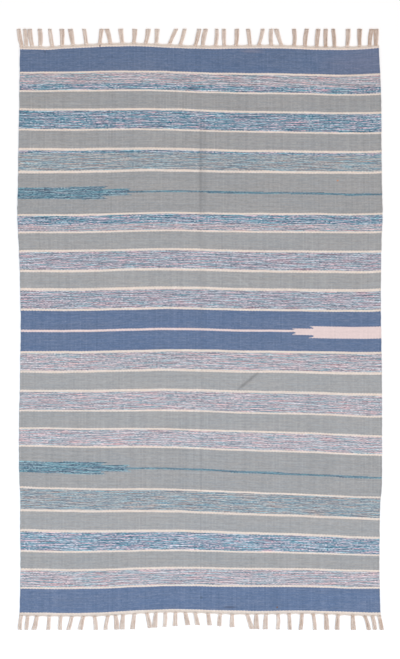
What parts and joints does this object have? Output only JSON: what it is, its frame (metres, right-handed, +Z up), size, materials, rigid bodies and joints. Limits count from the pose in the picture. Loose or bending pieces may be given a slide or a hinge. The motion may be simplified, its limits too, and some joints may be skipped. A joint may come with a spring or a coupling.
{
  "type": "kilim rug",
  "caption": "Flat-woven striped rug with a knotted fringe at both ends, lying flat to cover a floor.",
  "frame": {"origin": "under the middle of the rug's bounding box, on the floor that it lies on", "axes": "+Y down the length towards the far fringe, +X across the width to the right, +Z up out of the floor"},
  "size_m": [1.54, 2.5286, 0.005],
  "materials": {
    "woven_cloth": "matt handwoven cotton in grey, slate blue, teal, lavender and cream wefts",
    "warp_cotton": "matt unbleached cotton warp yarn"
  },
  "bodies": {
    "root": {"woven_body": "woven_cloth", "fringe_far": "warp_cotton", "fringe_near": "warp_cotton"}
  },
  "joints": []
}
